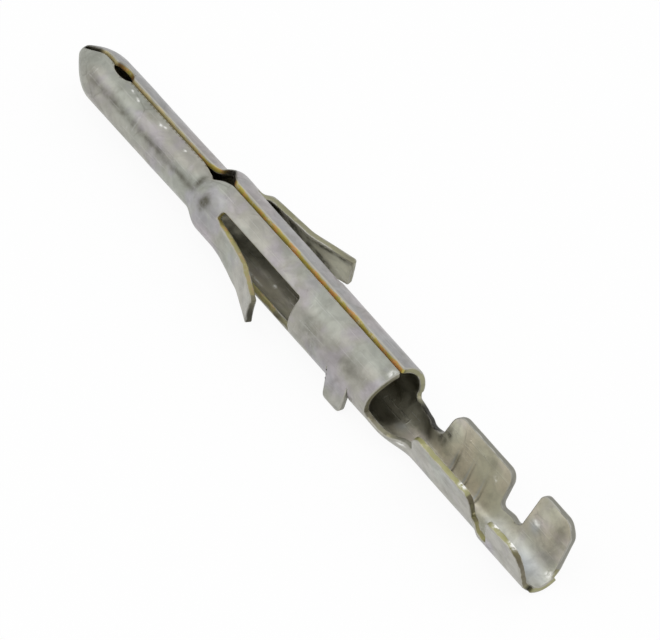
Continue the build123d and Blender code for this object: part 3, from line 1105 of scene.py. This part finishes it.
mesh = bpy.data.meshes.new("contact")
mesh.from_pydata(vertices.tolist(), [], faces)
mesh.materials.append(tin("tin_outside", tin_grey, 0.7))
mesh.materials.append(tin("tin_inside", tin_warm_lit, 0.5))
mesh.materials.append(sheared_edge("sheared_edge"))
mesh.polygons.foreach_set("material_index", parts)
carried = {
    "soil_and_shade": soiling_and_shading(flat, depths),
    "tint": right_tint * eased(flat[:, 1], 1.7, 2.3) * (depths < 0.5),
    "bare": bareness(flat),
    "tarnish": tarnish(flat),
    "seam": in_seam(flat),
    "pale": paled(flat),
    "painted_inner_shade": painted_inner_shade(flat, depths),
    "cool_highlight": cool_highlighting(flat) * (depths > 0.5),
    "edge_shade": shaded_edges(flat),
    "glint": glinting(flat, depths),
    "depth": depths,
}
for name, values in carried.items():
    mesh.attributes.new(name, "FLOAT", "POINT").data.foreach_set("value", values)
mesh.shade_smooth()
mesh.update()
contact = linked("contact", mesh)
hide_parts(NODE)
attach(contact, "root")

# Floor

floor_half = 0.6
floor_white = 0.92
corners = [(x * floor_half, y * floor_half, low_corner.z) for x, y in ((-1, -1), (1, -1), (1, 1), (-1, 1))]
floor_mesh = bpy.data.meshes.new("floor")
floor_mesh.from_pydata(corners, [], [(0, 1, 2, 3)])
floor_object = linked("floor", floor_mesh)

paper = Nodes(bpy.data.materials.new("floor_paper"))
matt = {"Base Color": (0.86, 0.86, 0.86), "Roughness": 1.0}
shader = paper.fill(paper.tree.nodes["Principled BSDF"], matt)
glow = paper.add("ShaderNodeEmission", 0, {"Strength": 1.0})
seen = paper.math("MULTIPLY", paper.seen_white(), floor_white)
paper.blend(seen, shader.outputs[0], glow, "Material Output")
floor_mesh.materials.append(paper.owner)

# World and lamps: the backdrop is white to the camera, and a little less so in reflections

reflected_white = 0.8
world = bpy.data.worlds.new("studio")
bpy.context.scene.world = world
sky = Nodes(world)
soft = sky.fill(sky.tree.nodes["Background"], {"Color": (1, 1, 1), "Strength": 0.85})
from_camera = sky.add("ShaderNodeLightPath", "Is Camera Ray", {})
level = sky.math("MULTIPLY_ADD", from_camera, 1 - reflected_white, reflected_white)
white = sky.add("ShaderNodeBackground", 0, {"Color": (1, 1, 1), "Strength": level})
sky.blend(sky.seen_white(), soft.outputs[0], white, "World Output")


def soft_lamp(name, place, size, watts):
    """Square soft box that faces the contact."""
    data = bpy.data.lights.new(name, "AREA")
    data.size = size
    data.energy = watts
    lamp = linked(name, data)
    lamp.location = place
    lamp.rotation_mode = "QUATERNION"
    lamp.rotation_quaternion = Vector(place).to_track_quat("Z", "Y")


soft_lamp("key", (-0.03, -0.06, 0.12), 0.16, 0.050)
soft_lamp("rear", (0.05, 0.09, 0.10), 0.12, 0.020)

# Camera: turned and tilted as in the photograph, and rolled until the contact lies along its diagonal

photo_size = (660, 640)
pixels_per_mm = 35.2
view_turn = radians(29.0)
view_tilt = radians(35.0)
axis_in_picture = (0.6665, 0.7455)
nose_along, axis_aside = 93.4, 30.25
along = Vector((cos(view_turn), sin(view_tilt) * sin(view_turn), -cos(view_tilt) * sin(view_turn)))
aside = Vector((0, cos(view_tilt), sin(view_tilt)))
towards = along.cross(aside)
right = along * axis_in_picture[0] + aside * axis_in_picture[1]
up = aside * axis_in_picture[0] - along * axis_in_picture[1]

middle = Vector(photo_size) / 2
middle_along = middle.dot(Vector(axis_in_picture))
middle_aside = middle.dot(Vector((axis_in_picture[1], -axis_in_picture[0])))
aim = nose_place + along * (middle_along - nose_along) / pixels_per_mm * MM
aim = aim + aside * (middle_aside - axis_aside) / pixels_per_mm * MM

lens = 1500
camera_data = bpy.data.cameras.new("camera")
camera_data.lens = lens
distance = lens / camera_data.sensor_width * photo_size[0] / pixels_per_mm * MM
camera_data.clip_end = 10
camera = linked("camera", camera_data)
turned = Matrix((right, up, towards)).transposed().to_4x4()
camera.matrix_world = Matrix.Translation(aim + towards * distance) @ turned
bpy.context.scene.camera = camera

bpy.context.scene.view_settings.view_transform = "Standard"
